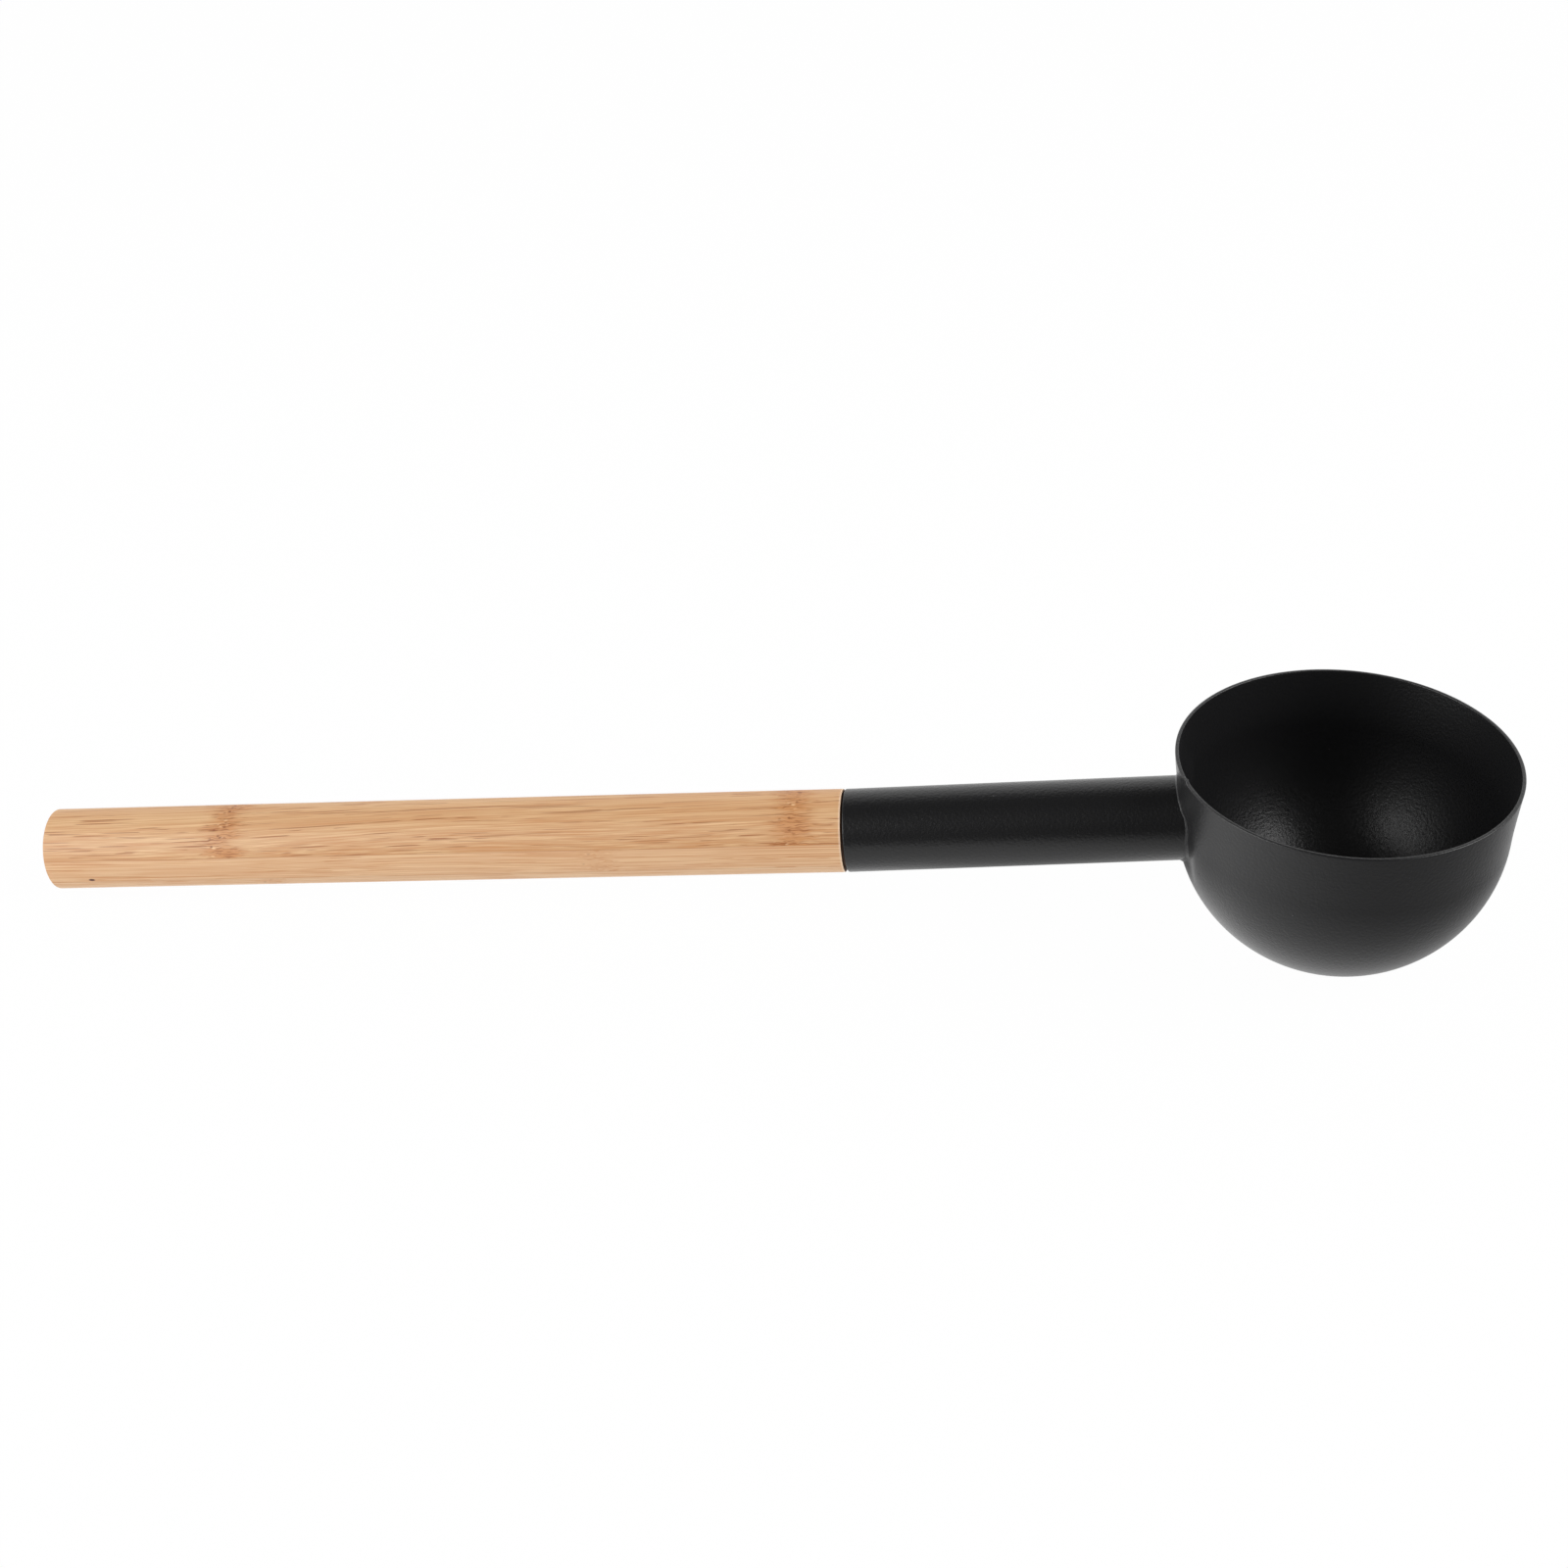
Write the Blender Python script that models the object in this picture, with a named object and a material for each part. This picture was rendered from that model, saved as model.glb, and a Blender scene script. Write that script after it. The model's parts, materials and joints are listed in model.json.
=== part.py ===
"""Sauna ladle: a round metal bowl, a metal neck tube welded to it, and a turned handle of glued bamboo.

Metres, +Z up. The ladle lies as on a table: the bowl's rim is level, the bowl's bottom and the lower
corner of the handle's end touch Z = 0, and the handle runs towards -X. The origin is under the middle
of the ladle's length.
"""
import math

import bmesh
import bpy
from mathutils import Euler, Matrix, Vector

MM = 0.001

# Bowl: half a sphere with a slightly flared band above it
DOME_RADIUS = 42.25 * MM
BAND_HEIGHT = 16.0 * MM
RIM_FLARE = 1.1 * MM
BOWL_WALL = 1.2 * MM
RIM_EASE = 0.2 * MM

# Neck: a round tube, coped to the bowl and welded all round
TUBE_RADIUS = 11.0 * MM
TUBE_WALL = 1.2 * MM
NECK_LENGTH = 85.0 * MM
MOUTH_EASE = 0.2 * MM
WELD_LEG = 1.7 * MM

# Handle: three bamboo plies glued flat on each other, turned round, with a tapered tenon.
# The plies lean a little towards -Y.
HANDLE_RADIUS = 11.0 * MM
HANDLE_LENGTH = 220.0 * MM
END_ROUND = 0.8 * MM
TENON_LENGTH = 30.0 * MM
TENON_CHAMFER = 0.6 * MM
JOINT_GAP = 0.8 * MM
PLY_NAMES = ("handle_ply_top", "handle_ply_middle", "handle_ply_bottom")
PLY_TURN = math.radians(-4.0)

# The handle is glued in a little flatter than the neck, so the joint opens below
HANDLE_LIFT = math.radians(1.1)

# Clearances between touching pieces
WELD_CLEARANCE = 0.3 * MM
COPE_CLEARANCE = 0.3 * MM
SOCKET_CLEARANCE = 0.3 * MM
GLUE_LINE = 0.3 * MM

# Facets
BOWL_STEPS = 96
DOME_STEPS = 18
ROUND_STEPS = 64
BEAD_STEPS = 4
END_STEPS = 3
SMOOTH_ANGLE = math.radians(32.0)

# Sizes that follow from the ones above
RIM_RADIUS = DOME_RADIUS + RIM_FLARE
DOME_INNER_RADIUS = DOME_RADIUS - BOWL_WALL
SOCKET_RADIUS = TUBE_RADIUS - TUBE_WALL
MOUTH_DISTANCE = DOME_RADIUS + NECK_LENGTH
TENON_RADIUS = SOCKET_RADIUS - SOCKET_CLEARANCE
TENON_TIP_RADIUS = TENON_RADIUS - TENON_LENGTH * math.sin(HANDLE_LIFT)


def neck_slope():
    """Angle by which the neck falls away from the bowl, so that the handle's end lies on the table.

    The neck's axis passes through the dome's centre. The lowest corner of the handle's end comes down
    by the dome's radius when reach * sin(slope) + drop * cos(slope) equals that radius.
    """
    corner = JOINT_GAP + HANDLE_LENGTH - END_ROUND
    reach = MOUTH_DISTANCE + corner * math.cos(HANDLE_LIFT) + HANDLE_RADIUS * math.sin(HANDLE_LIFT)
    drop = HANDLE_RADIUS * math.cos(HANDLE_LIFT) - corner * math.sin(HANDLE_LIFT)
    return math.asin(DOME_RADIUS / math.hypot(reach, drop)) - math.atan2(drop, reach)


NECK_SLOPE = neck_slope()
HANDLE_SLOPE = NECK_SLOPE - HANDLE_LIFT


def handle_tip_reach():
    """How far the handle's end reaches from the bowl's axis, at its upper corner."""
    mouth = MOUTH_DISTANCE * math.cos(NECK_SLOPE)
    end = JOINT_GAP + HANDLE_LENGTH
    reach = 0.0
    for step in range(END_STEPS + 1):
        turn = 0.5 * math.pi * step / END_STEPS
        along = end - END_ROUND * (1.0 - math.sin(turn))
        radius = HANDLE_RADIUS - END_ROUND * (1.0 - math.cos(turn))
        reach = max(reach, along * math.cos(HANDLE_SLOPE) + radius * math.sin(HANDLE_SLOPE))
    return mouth + reach


BOWL_X = 0.5 * (handle_tip_reach() - RIM_RADIUS)
DOME_CENTRE = Vector((BOWL_X, 0.0, DOME_RADIUS))


def clear_scene():
    for item in list(bpy.data.objects):
        bpy.data.objects.remove(item, do_unlink=True)


def finish(name, color, roughness, metallic):
    """A plain material with the piece's colour and gloss."""
    material = bpy.data.materials.new(name)
    material.use_nodes = True
    shader = material.node_tree.nodes["Principled BSDF"]
    shader.inputs["Base Color"].default_value = (*color, 1.0)
    shader.inputs["Roughness"].default_value = roughness
    shader.inputs["Metallic"].default_value = metallic
    return material


def powder_coat(name):
    return finish(name, (0.012, 0.012, 0.013), 0.48, 0.0)


def bamboo(name, shade):
    return finish(name, (0.72 * shade, 0.47 * shade, 0.25 * shade), 0.5, 0.0)


def add_piece(name, mesh_data, material, parent=None):
    """Make one named object from a bmesh, with faces outwards and round faces smooth."""
    bmesh.ops.recalc_face_normals(mesh_data, faces=mesh_data.faces)
    mesh = bpy.data.meshes.new(name)
    mesh_data.to_mesh(mesh)
    mesh_data.free()
    mesh.shade_smooth()
    mesh.set_sharp_from_angle(angle=SMOOTH_ANGLE)
    mesh.materials.append(material)
    piece = bpy.data.objects.new(name, mesh)
    bpy.context.collection.objects.link(piece)
    piece.parent = parent
    return piece


def add_guide(name, location, rotation, parent=None):
    """An empty that carries the pieces which share an axis."""
    guide = bpy.data.objects.new(name, None)
    guide.location = location
    guide.rotation_euler = rotation
    bpy.context.collection.objects.link(guide)
    guide.parent = parent
    return guide


def arc(radius, start, end, steps):
    """Points (radius, height) of an arc about the origin, from start to end, both ends included."""
    points = []
    for step in range(steps + 1):
        angle = start + (end - start) * step / steps
        points.append((radius * math.cos(angle), radius * math.sin(angle)))
    return points


def turned(profile, steps):
    """Turn a profile of (radius, height) points about Z. Its two ends lie on the axis."""
    body = bmesh.new()
    verts = []
    for radius, height in profile:
        verts.append(body.verts.new((radius, 0.0, height)))
    edges = []
    for lower, upper in zip(verts, verts[1:]):
        edges.append(body.edges.new((lower, upper)))
    bmesh.ops.spin(
        body,
        geom=verts + edges,
        cent=(0.0, 0.0, 0.0),
        axis=(0.0, 0.0, 1.0),
        angle=2.0 * math.pi,
        steps=steps,
        use_merge=True,
    )
    bmesh.ops.remove_doubles(body, verts=body.verts, dist=0.001 * MM)
    return body


def wrapped(section, steps):
    """Carry a closed section of points round the Z axis, where it may change with the angle."""
    body = bmesh.new()
    rows = []
    for step in range(steps):
        angle = 2.0 * math.pi * step / steps
        rows.append([body.verts.new(point) for point in section(angle)])
    for row, following in zip(rows, rows[1:] + rows[:1]):
        for index in range(len(row)):
            after = (index + 1) % len(row)
            body.faces.new((row[index], row[after], following[after], following[index]))
    return body


def bowl_wall_offset(point):
    """Distance of a point, given from the dome's centre, outside the bowl's outer wall."""
    if point.z < 0.0:
        return point.length - DOME_RADIUS
    return math.hypot(point.x, point.y) - DOME_RADIUS - point.z * RIM_FLARE / BAND_HEIGHT


def cope(radius, angle, offset):
    """Distance along the neck at which a line parallel to its axis stands off the bowl's wall."""
    along_neck = Euler((0.0, -0.5 * math.pi - NECK_SLOPE, 0.0)).to_matrix()
    near = 0.0
    far = MOUTH_DISTANCE
    for _ in range(40):
        middle = 0.5 * (near + far)
        local = Vector((radius * math.cos(angle), radius * math.sin(angle), middle))
        if bowl_wall_offset(along_neck @ local) < offset:
            near = middle
        else:
            far = middle
    return 0.5 * (near + far)


def around_neck(radius, angle, along):
    return (radius * math.cos(angle), radius * math.sin(angle), along)


def make_bowl():
    """A pressed cup of even wall: dome, band and a flat rim with eased edges."""
    rim_height = BAND_HEIGHT
    outer = arc(DOME_RADIUS, -0.5 * math.pi, 0.0, DOME_STEPS)
    outer[0] = (0.0, -DOME_RADIUS)
    flare = RIM_FLARE / BAND_HEIGHT
    outer.append((RIM_RADIUS - flare * RIM_EASE, rim_height - RIM_EASE))
    outer.append((RIM_RADIUS - RIM_EASE, rim_height))
    inner = [(RIM_RADIUS - BOWL_WALL + RIM_EASE, rim_height)]
    inner.append((RIM_RADIUS - BOWL_WALL - flare * RIM_EASE, rim_height - RIM_EASE))
    inner += arc(DOME_INNER_RADIUS, 0.0, -0.5 * math.pi, DOME_STEPS)
    inner[-1] = (0.0, -DOME_INNER_RADIUS)
    body = turned(outer + inner, BOWL_STEPS)
    bowl = add_piece("bowl", body, powder_coat("bowl_coat"))
    bowl.location = DOME_CENTRE
    return bowl


def make_neck_tube(neck_axis):
    """The tube's near end follows the bowl's wall, and its mouth is cut square."""
    def section(angle):
        return [
            around_neck(TUBE_RADIUS, angle, cope(TUBE_RADIUS, angle, COPE_CLEARANCE)),
            around_neck(TUBE_RADIUS, angle, MOUTH_DISTANCE - MOUTH_EASE),
            around_neck(TUBE_RADIUS - MOUTH_EASE, angle, MOUTH_DISTANCE),
            around_neck(SOCKET_RADIUS + MOUTH_EASE, angle, MOUTH_DISTANCE),
            around_neck(SOCKET_RADIUS, angle, MOUTH_DISTANCE - MOUTH_EASE),
            around_neck(SOCKET_RADIUS, angle, cope(SOCKET_RADIUS, angle, COPE_CLEARANCE)),
        ]

    body = wrapped(section, ROUND_STEPS)
    return add_piece("neck_tube", body, powder_coat("tube_coat"), neck_axis)


def make_neck_weld(neck_axis):
    """A round bead in the corner between the tube and the bowl, all the way round the saddle."""
    bead = WELD_LEG - WELD_CLEARANCE

    def section(angle):
        root = TUBE_RADIUS + WELD_CLEARANCE
        points = [around_neck(root, angle, cope(root, angle, WELD_CLEARANCE))]
        for step in range(BEAD_STEPS + 1):
            turn = 0.5 * math.pi * step / BEAD_STEPS
            radius = root + bead * math.sin(turn)
            stand_off = WELD_CLEARANCE + bead * math.cos(turn)
            points.append(around_neck(radius, angle, cope(radius, angle, stand_off)))
        return points

    body = wrapped(section, ROUND_STEPS)
    return add_piece("neck_weld", body, powder_coat("weld_coat"), neck_axis)


def handle_profile():
    """Half outline of the whole handle: tenon tip, taper, shoulder, grip and rounded end."""
    end = JOINT_GAP + HANDLE_LENGTH
    tip = -TENON_LENGTH
    points = [(0.0, tip), (TENON_TIP_RADIUS - TENON_CHAMFER, tip)]
    points.append((TENON_TIP_RADIUS, tip + TENON_CHAMFER))
    points.append((TENON_RADIUS, 0.0))
    points.append((TENON_RADIUS, JOINT_GAP))
    points.append((HANDLE_RADIUS, JOINT_GAP))
    for radius, height in arc(END_ROUND, 0.0, 0.5 * math.pi, END_STEPS):
        points.append((HANDLE_RADIUS - END_ROUND + radius, end - END_ROUND + height))
    points.append((0.0, end))
    return points


def cut_flat(body, height, keep_below):
    """Cut a body with a plane across local X, keep one side and close the cut."""
    cut = bmesh.ops.bisect_plane(
        body,
        geom=body.verts[:] + body.edges[:] + body.faces[:],
        dist=0.0001 * MM,
        plane_co=(height, 0.0, 0.0),
        plane_no=(1.0, 0.0, 0.0),
        clear_outer=keep_below,
        clear_inner=not keep_below,
    )
    rim = [item for item in cut["geom_cut"] if isinstance(item, bmesh.types.BMEdge)]
    bmesh.ops.contextual_create(body, geom=rim)


def make_handle(handle_axis):
    """Turn the glued blank, then part it along its glue lines into its plies."""
    blank = 2.0 * HANDLE_RADIUS
    ply = blank / len(PLY_NAMES)
    plies = []
    for index, name in enumerate(PLY_NAMES):
        body = turned(handle_profile(), ROUND_STEPS)
        top = HANDLE_RADIUS - ply * index
        bottom = top - ply
        bmesh.ops.rotate(
            body,
            cent=(0.0, 0.0, 0.0),
            matrix=Matrix.Rotation(-PLY_TURN, 3, "Z"),
            verts=body.verts,
        )
        if index > 0:
            cut_flat(body, top - 0.5 * GLUE_LINE, True)
        if index < len(PLY_NAMES) - 1:
            cut_flat(body, bottom + 0.5 * GLUE_LINE, False)
        bmesh.ops.rotate(
            body,
            cent=(0.0, 0.0, 0.0),
            matrix=Matrix.Rotation(PLY_TURN, 3, "Z"),
            verts=body.verts,
        )
        shade = 1.0 - 0.03 * index
        plies.append(add_piece(name, body, bamboo(name + "_bamboo", shade), handle_axis))
    return plies


def main():
    clear_scene()
    neck_axis = add_guide("neck_axis", DOME_CENTRE, (0.0, -0.5 * math.pi - NECK_SLOPE, 0.0))
    handle_axis = add_guide("handle_axis", (0.0, 0.0, MOUTH_DISTANCE), (0.0, HANDLE_LIFT, 0.0), neck_axis)
    make_bowl()
    make_neck_tube(neck_axis)
    make_neck_weld(neck_axis)
    make_handle(handle_axis)
    bpy.context.view_layer.update()
    print("neck slope", round(math.degrees(NECK_SLOPE), 3), "degrees")
    print("bowl axis at X", round(BOWL_X / MM, 3), "mm")


main()
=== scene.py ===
# %% [markdown]
# # Sauna ladle
# A sauna ladle throws water on hot stones. This one is a round metal bowl with a metal tube welded to it,
# both powder-coated matt black, and a straight round handle of glued bamboo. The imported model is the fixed
# frame here: it says where everything is and how big. Each visible piece is modelled again around it with
# finer forms and a real finish, and stands for the plain solid in the same place.

import json
import math

import bmesh
import bpy
from mathutils import Euler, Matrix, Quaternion, Vector


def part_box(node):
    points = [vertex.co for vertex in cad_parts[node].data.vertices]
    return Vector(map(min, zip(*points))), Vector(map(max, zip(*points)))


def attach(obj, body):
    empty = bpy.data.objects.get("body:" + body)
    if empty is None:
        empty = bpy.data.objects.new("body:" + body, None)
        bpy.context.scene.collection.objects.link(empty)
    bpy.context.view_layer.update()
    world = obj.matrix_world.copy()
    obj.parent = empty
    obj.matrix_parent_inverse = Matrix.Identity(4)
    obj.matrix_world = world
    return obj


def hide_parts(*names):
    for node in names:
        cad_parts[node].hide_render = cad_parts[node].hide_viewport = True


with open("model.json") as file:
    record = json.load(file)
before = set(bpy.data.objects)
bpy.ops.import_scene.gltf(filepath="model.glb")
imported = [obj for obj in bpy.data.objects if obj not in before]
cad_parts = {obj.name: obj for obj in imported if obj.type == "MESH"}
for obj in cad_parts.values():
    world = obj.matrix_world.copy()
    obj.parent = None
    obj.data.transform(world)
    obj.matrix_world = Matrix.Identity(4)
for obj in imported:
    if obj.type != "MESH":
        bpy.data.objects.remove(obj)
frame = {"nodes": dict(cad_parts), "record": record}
bpy.ops.object.select_all(action="DESELECT")
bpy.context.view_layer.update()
print("frame nodes:", ", ".join(sorted(frame["nodes"])))

# %% [markdown]
# ## Sizes
# The sizes come from the frame's own boxes and mounts, so that they follow the model. Only what no box can
# tell is named here: the wall thickness, the flare of the rim, the lengths of neck and handle. The handle is
# glued in 1.1 degrees out of line with the neck, as on the real ladle, so each has its own direction.

# %% Sizes and directions
MM = 0.001
RIM_FLARE = 1.1 * MM
BAND_HEIGHT = 16.0 * MM
WALL = 1.2 * MM
TUBE_RADIUS = 11.0 * MM
NECK_LENGTH = 85.0 * MM
HANDLE_RADIUS = 11.0 * MM
HANDLE_LENGTH = 220.0 * MM
JOINT_GAP = 0.8 * MM
HANDLE_LIFT = math.radians(1.1)
PLY_LEAN = math.radians(4.0)
BODY = "root"

bowl_low, bowl_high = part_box("bowl")
RIM_RADIUS = 0.5 * (bowl_high.x - bowl_low.x)
DOME_RADIUS = RIM_RADIUS - RIM_FLARE
RIM_HEIGHT = bowl_high.z
dome_centre = Vector((0.5 * (bowl_low.x + bowl_high.x), 0.0, DOME_RADIUS))
rim_centre = Vector((dome_centre.x, 0.0, RIM_HEIGHT))

handle_mount = [mount for mount in frame["record"]["mounts"] if mount["name"] == "handle_end"][0]
handle_end = Vector(handle_mount["pos_m"])
handle_direction = Vector(handle_mount["axis"])
HANDLE_SLOPE = math.asin(-handle_direction.z)
NECK_SLOPE = HANDLE_SLOPE + HANDLE_LIFT
neck_direction = Vector((-math.cos(NECK_SLOPE), 0.0, -math.sin(NECK_SLOPE)))
mouth_centre = dome_centre + neck_direction * (DOME_RADIUS + NECK_LENGTH)
neck_turn = (0.0, -0.5 * math.pi - NECK_SLOPE, 0.0)
handle_turn = (0.0, -0.5 * math.pi - HANDLE_SLOPE, 0.0)
print("rim radius", round(RIM_RADIUS / MM, 2), "mm")
print("neck slope", round(math.degrees(NECK_SLOPE), 2), "degrees")

# %% [markdown]
# ## The camera
# The photograph looks down on the ladle from the front and a little from the right. Azimuth, elevation, roll
# and distance come from fitting the outlines of bowl, tube and handle, and the lens from how much the near
# parts look larger.

# %% Place the camera
CAMERA_AZIMUTH = math.radians(7.149)
CAMERA_ELEVATION = math.radians(34.291)
CAMERA_ROLL = math.radians(1.578)
CAMERA_DISTANCE = 627.28 * MM
CAMERA_LENS = 55.05
SENSOR_WIDTH = 36.0
camera_target = Vector((8.566 * MM, 0.0, 43.183 * MM))


def outwards(azimuth, elevation):
    """The direction from the middle outwards, turned from the front by azimuth and raised by elevation."""
    return Vector((
        math.sin(azimuth) * math.cos(elevation),
        -math.cos(azimuth) * math.cos(elevation),
        math.sin(elevation),
    ))


camera_back = outwards(CAMERA_AZIMUTH, CAMERA_ELEVATION)
camera = bpy.data.objects.new("camera", bpy.data.cameras.new("camera"))
bpy.context.collection.objects.link(camera)
camera.data.sensor_width = SENSOR_WIDTH
camera.data.lens = CAMERA_LENS
camera.data.clip_start = 10.0 * MM
camera.location = camera_target + camera_back * CAMERA_DISTANCE
camera.rotation_mode = "QUATERNION"
camera.rotation_quaternion = camera_back.to_track_quat("Z", "Y") @ Quaternion((0, 0, 1), -CAMERA_ROLL)
bpy.context.scene.camera = camera
bpy.context.scene.view_settings.view_transform = "Standard"
print("camera at", [round(value / MM) for value in camera.location], "mm")

# %% [markdown]
# ## Helpers for colours and nodes
# A colour picked from a picture is in sRGB, but shaders work with linear light, so one function converts a
# hex code. Another adds a node and sets or links its inputs, which keeps each material short to read.

# %% Colour and node helpers
def linear(code):
    """An sRGB hex colour such as "d9ae7e" as linear red, green, blue and alpha."""
    channels = []
    for start in (0, 2, 4):
        value = int(code[start:start + 2], 16) / 255.0
        channels.append(value / 12.92 if value <= 0.04045 else ((value + 0.055) / 1.055) ** 2.4)
    return (*channels, 1.0)


def add_node(tree, kind, inputs=None, **settings):
    """Add a node, set its properties, and set or link its inputs. A node as input is its first output."""
    node = tree.nodes.new(kind)
    for name, value in settings.items():
        setattr(node, name, value)
    for key, value in (inputs or {}).items():
        if isinstance(value, bpy.types.Node):
            value = value.outputs[0]
        if isinstance(value, bpy.types.NodeSocket):
            tree.links.new(value, node.inputs[key])
        else:
            node.inputs[key].default_value = value
    return node


def stretched(length, width):
    """A Mapping scale for a pattern this long along X and this wide across."""
    return (1.0 / length, 1.0 / width, 1.0 / width)


def new_material(name):
    """An empty node material with its output, ready for nodes."""
    material = bpy.data.materials.new(name)
    material.use_nodes = True
    material.node_tree.nodes.clear()
    output = material.node_tree.nodes.new("ShaderNodeOutputMaterial")
    return material, material.node_tree, output


print("mid grey in linear light:", round(linear("808080")[0], 3))

# %% [markdown]
# ## The studio
# The photograph has a white table that runs into a white backdrop, two softboxes left and right of the
# camera, and a dark room behind the camera. The dark room matters: it is what the top of the black tube
# reflects, while its edges and the belly of the bowl pick up the white table. The floor keeps a faint
# shadow, and what the camera sees of it is almost all its own white. In reflections it is less even, as the
# black coat shows it: it dims to the right, towards its front edge, and in the shade beside the neck.

# %% Floor and backdrop
FLOOR_SIZE = 8.0
FLOOR_GLOW_SHARE = 0.985
FLOOR_BOUNCE_SHARE = 0.97
FLOOR_BRIGHT_END = 0.1
FLOOR_DIM_END = 0.28
FLOOR_BRIGHT = 1.25
FLOOR_DIM = 0.35
FLOOR_FRONT_WEIGHT = 0.8
TABLE_FRONT_START = -0.1
TABLE_FRONT_END = -0.4
TABLE_FRONT_DIM = 0.15
NECK_SHADE_PLACE = (0.075, 0.02, 0.0)
NECK_SHADE_START = 0.018
NECK_SHADE_END = 0.053
NECK_SHADE = 0.55
TABLE_PAINT = "eeeeee"

bpy.ops.mesh.primitive_plane_add(size=FLOOR_SIZE, location=(0.0, 0.0, 0.0))
floor = bpy.context.active_object
floor.name = "floor"
floor_material, tree, output = new_material("white_table_laminate")
rays = add_node(tree, "ShaderNodeLightPath")
place = add_node(tree, "ShaderNodeTexCoord")
across = add_node(tree, "ShaderNodeSeparateXYZ", {0: place.outputs["Object"]})
rightwards = add_node(tree, "ShaderNodeMath", {
    0: across.outputs["Y"], 1: -FLOOR_FRONT_WEIGHT, 2: across.outputs["X"],
}, operation="MULTIPLY_ADD")
falloff = add_node(tree, "ShaderNodeMapRange", {
    "Value": rightwards, "From Min": FLOOR_BRIGHT_END, "From Max": FLOOR_DIM_END,
    "To Min": FLOOR_BRIGHT, "To Max": FLOOR_DIM,
}, interpolation_type="SMOOTHSTEP")
seen = add_node(tree, "ShaderNodeMath", {0: rays.outputs["Is Camera Ray"], 1: rays.outputs["Is Glossy Ray"]},
                operation="MAXIMUM")
seen_too = add_node(tree, "ShaderNodeMath", {0: seen, 1: rays.outputs["Is Transmission Ray"]},
                    operation="MAXIMUM")
glowing = add_node(tree, "ShaderNodeMath", {0: seen_too, 1: FLOOR_GLOW_SHARE}, operation="MULTIPLY")
share = add_node(tree, "ShaderNodeMath", {0: glowing, 1: FLOOR_BOUNCE_SHARE}, operation="MAXIMUM")
front = add_node(tree, "ShaderNodeMapRange", {
    "Value": across.outputs["Y"], "From Min": TABLE_FRONT_START, "From Max": TABLE_FRONT_END,
    "To Min": 1.0, "To Max": TABLE_FRONT_DIM,
}, interpolation_type="SMOOTHSTEP")
from_neck = add_node(tree, "ShaderNodeVectorMath", {0: place.outputs["Object"], 1: NECK_SHADE_PLACE},
                     operation="DISTANCE")
shade = add_node(tree, "ShaderNodeMapRange", {
    "Value": from_neck.outputs["Value"], "From Min": NECK_SHADE_START, "From Max": NECK_SHADE_END,
    "To Min": NECK_SHADE, "To Max": 1.0,
}, interpolation_type="SMOOTHSTEP")
dimmed = add_node(tree, "ShaderNodeMath", {0: falloff, 1: front}, operation="MULTIPLY")
kept = add_node(tree, "ShaderNodeMath", {0: dimmed, 1: shade}, operation="MULTIPLY")
loss = add_node(tree, "ShaderNodeMath", {0: kept, 1: 1.0}, operation="SUBTRACT")
strength = add_node(tree, "ShaderNodeMath", {
    0: loss, 1: rays.outputs["Is Glossy Ray"], 2: 1.0,
}, operation="MULTIPLY_ADD")
paint = add_node(tree, "ShaderNodeBsdfDiffuse", {"Color": linear(TABLE_PAINT)})
glow = add_node(tree, "ShaderNodeEmission", {"Color": linear("ffffff"), "Strength": strength})
blend = add_node(tree, "ShaderNodeMixShader", {0: share, 1: paint, 2: glow})
tree.links.new(blend.outputs[0], output.inputs["Surface"])
floor.data.materials.append(floor_material)
print("white table:", FLOOR_SIZE, "m square")

# %% [markdown]
# The world is the rest of the room. Towards the back it is the white backdrop, up to its top edge, and
# elsewhere it is dim. A ray from the camera sees plain white everywhere.

# %% Room light
BACKDROP_LIGHT = 1.2
ROOM_LIGHT = 0.13
BACKDROP_FRONT_EDGE = -0.15
BACKDROP_FULL = 0.45
BACKDROP_TOP_START = 0.62
BACKDROP_TOP_END = 0.92

world = bpy.data.worlds.new("studio_room")
bpy.context.scene.world = world
world.use_nodes = True
tree = world.node_tree
tree.nodes.clear()
output = tree.nodes.new("ShaderNodeOutputWorld")
rays = add_node(tree, "ShaderNodeLightPath")
direction = add_node(tree, "ShaderNodeTexCoord")
parts = add_node(tree, "ShaderNodeSeparateXYZ", {0: direction.outputs["Generated"]})
behind = add_node(tree, "ShaderNodeMapRange", {
    "Value": parts.outputs["Y"], "From Min": BACKDROP_FRONT_EDGE, "From Max": BACKDROP_FULL,
}, interpolation_type="SMOOTHSTEP")
below_top = add_node(tree, "ShaderNodeMapRange", {
    "Value": parts.outputs["Z"], "From Min": BACKDROP_TOP_START, "From Max": BACKDROP_TOP_END,
    "To Min": 1.0, "To Max": 0.0,
}, interpolation_type="SMOOTHSTEP")
backdrop = add_node(tree, "ShaderNodeMath", {0: behind, 1: below_top}, operation="MULTIPLY")
level = add_node(tree, "ShaderNodeMapRange", {
    "Value": backdrop, "To Min": ROOM_LIGHT, "To Max": BACKDROP_LIGHT,
})
strength = add_node(tree, "ShaderNodeMath", {0: level, 1: rays.outputs["Is Camera Ray"]},
                    operation="MAXIMUM")
light = add_node(tree, "ShaderNodeBackground", {"Color": linear("ffffff"), "Strength": strength})
tree.links.new(light.outputs[0], output.inputs["Surface"])
print("backdrop and room:", BACKDROP_LIGHT, ROOM_LIGHT)

# %% [markdown]
# A softbox is a square lamp behind white cloth. Each is two lamps here, at the same place. The first lights
# the object at the plain level at which a colour renders about as it is written. The second shows in
# reflections only, so that the gleam inside the bowl is as bright as in the photograph while the wood keeps
# its colour.

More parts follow.
